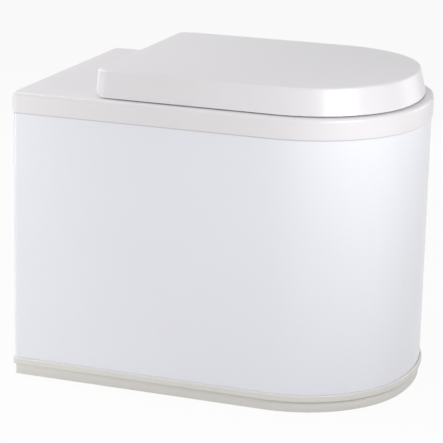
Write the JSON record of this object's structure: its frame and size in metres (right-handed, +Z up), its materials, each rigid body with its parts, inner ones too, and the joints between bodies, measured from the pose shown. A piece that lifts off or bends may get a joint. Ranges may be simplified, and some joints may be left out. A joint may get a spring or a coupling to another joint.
{
  "type": "freezing toilet",
  "caption": "Free-standing freezing toilet: D-shaped white cabinet on a plinth, deep wrap-over lid, hinged seat, lift-out container and a refrigeration unit behind a louvred rear panel.",
  "frame": {"origin": "middle of the footprint on the floor", "axes": "+Z up, +Y towards the rear panel, so the round nose faces -Y, and +X to the right seen from the front"},
  "size_m": [0.446, 0.65, 0.535],
  "materials": {
    "wrap_white": "glossy white baked enamel on sheet steel",
    "deck_white": "glossy white moulded plastic",
    "plinth_cream": "off-white moulded plastic",
    "inner_white": "matte white moulded plastic",
    "container_grey": "matte pale grey moulded plastic",
    "control_black": "matte black moulded plastic",
    "lamp_green": "clear green lens",
    "rubber_black": "matte black rubber",
    "rubber_grey": "matte grey rubber",
    "tub_aluminium": "drawn aluminium",
    "tube_copper": "bare copper tube",
    "steel_black": "black painted steel",
    "steel_zinc": "zinc-plated steel",
    "sheet_zinc": "galvanised sheet steel",
    "foam_yellow": "rigid polyurethane foam"
  },
  "bodies": {
    "cabinet": {"base_tray": "plinth_cream", "foot_pads": "rubber_black", "cabinet_wrap": "wrap_white", "rear_panel": "wrap_white", "panel_screws": "steel_zinc", "top_deck": "deck_white", "freezer_tub": "tub_aluminium", "tub_gasket": "rubber_grey", "evaporator_coil": "tube_copper", "insulation": "foam_yellow", "bulkhead": "sheet_zinc", "bulkhead_screws": "steel_zinc", "hinge_posts": "deck_white", "hinge_pins": "steel_zinc", "hinge_studs": "steel_zinc", "hinge_nuts": "steel_zinc", "control_well": "control_black", "thermostat_body": "inner_white", "switch_body": "control_black", "pilot_lamp": "lamp_green", "cable_gland": "control_black", "sensor_line": "tube_copper", "compressor_lower_shell": "steel_black", "compressor_upper_shell": "steel_black", "compressor_foot_plate": "steel_black", "compressor_grommets": "rubber_black", "compressor_bolts": "steel_zinc", "relay_cover": "control_black", "condenser_tube": "steel_black", "condenser_wires": "steel_black", "condenser_clips": "inner_white", "discharge_line": "tube_copper", "filter_drier": "tube_copper", "capillary_line": "tube_copper", "suction_line": "tube_copper"},
    "seat": {"seat_ring": "deck_white", "seat_buffers": "rubber_grey"},
    "lid": {"lid_shell": "deck_white", "lid_insulation": "foam_yellow", "lid_liner": "inner_white", "lid_buffers": "rubber_grey"},
    "container": {"waste_container": "container_grey"},
    "knob": {"thermostat_knob": "control_black", "thermostat_shaft": "steel_zinc"},
    "rocker": {"switch_rocker": "control_black"}
  },
  "joints": [
    {"name": "seat_hinge", "type": "hinge", "parent": "cabinet", "child": "seat", "pos_m": [0, 0.173, 0.507], "axis": [-1, 0, 0], "range_deg": [0, 95]},
    {"name": "lid_hinge", "type": "hinge", "parent": "seat", "child": "lid", "pos_m": [0, 0.173, 0.507], "axis": [1, 0, 0], "range_deg": [-100, 0]},
    {"name": "container_lift", "type": "slide", "parent": "cabinet", "child": "container", "axis": [0, 0, 1], "range_m": [0, 0.028]},
    {"name": "thermostat_turn", "type": "hinge", "parent": "cabinet", "child": "knob", "pos_m": [0.122, 0.289, 0.3925], "axis": [0, -1, 0], "range_deg": [0, 270]},
    {"name": "switch_rock", "type": "hinge", "parent": "cabinet", "child": "rocker", "pos_m": [0.098, 0.2899, 0.3465], "axis": [1, 0, 0], "range_deg": [0, 16]}
  ]
}
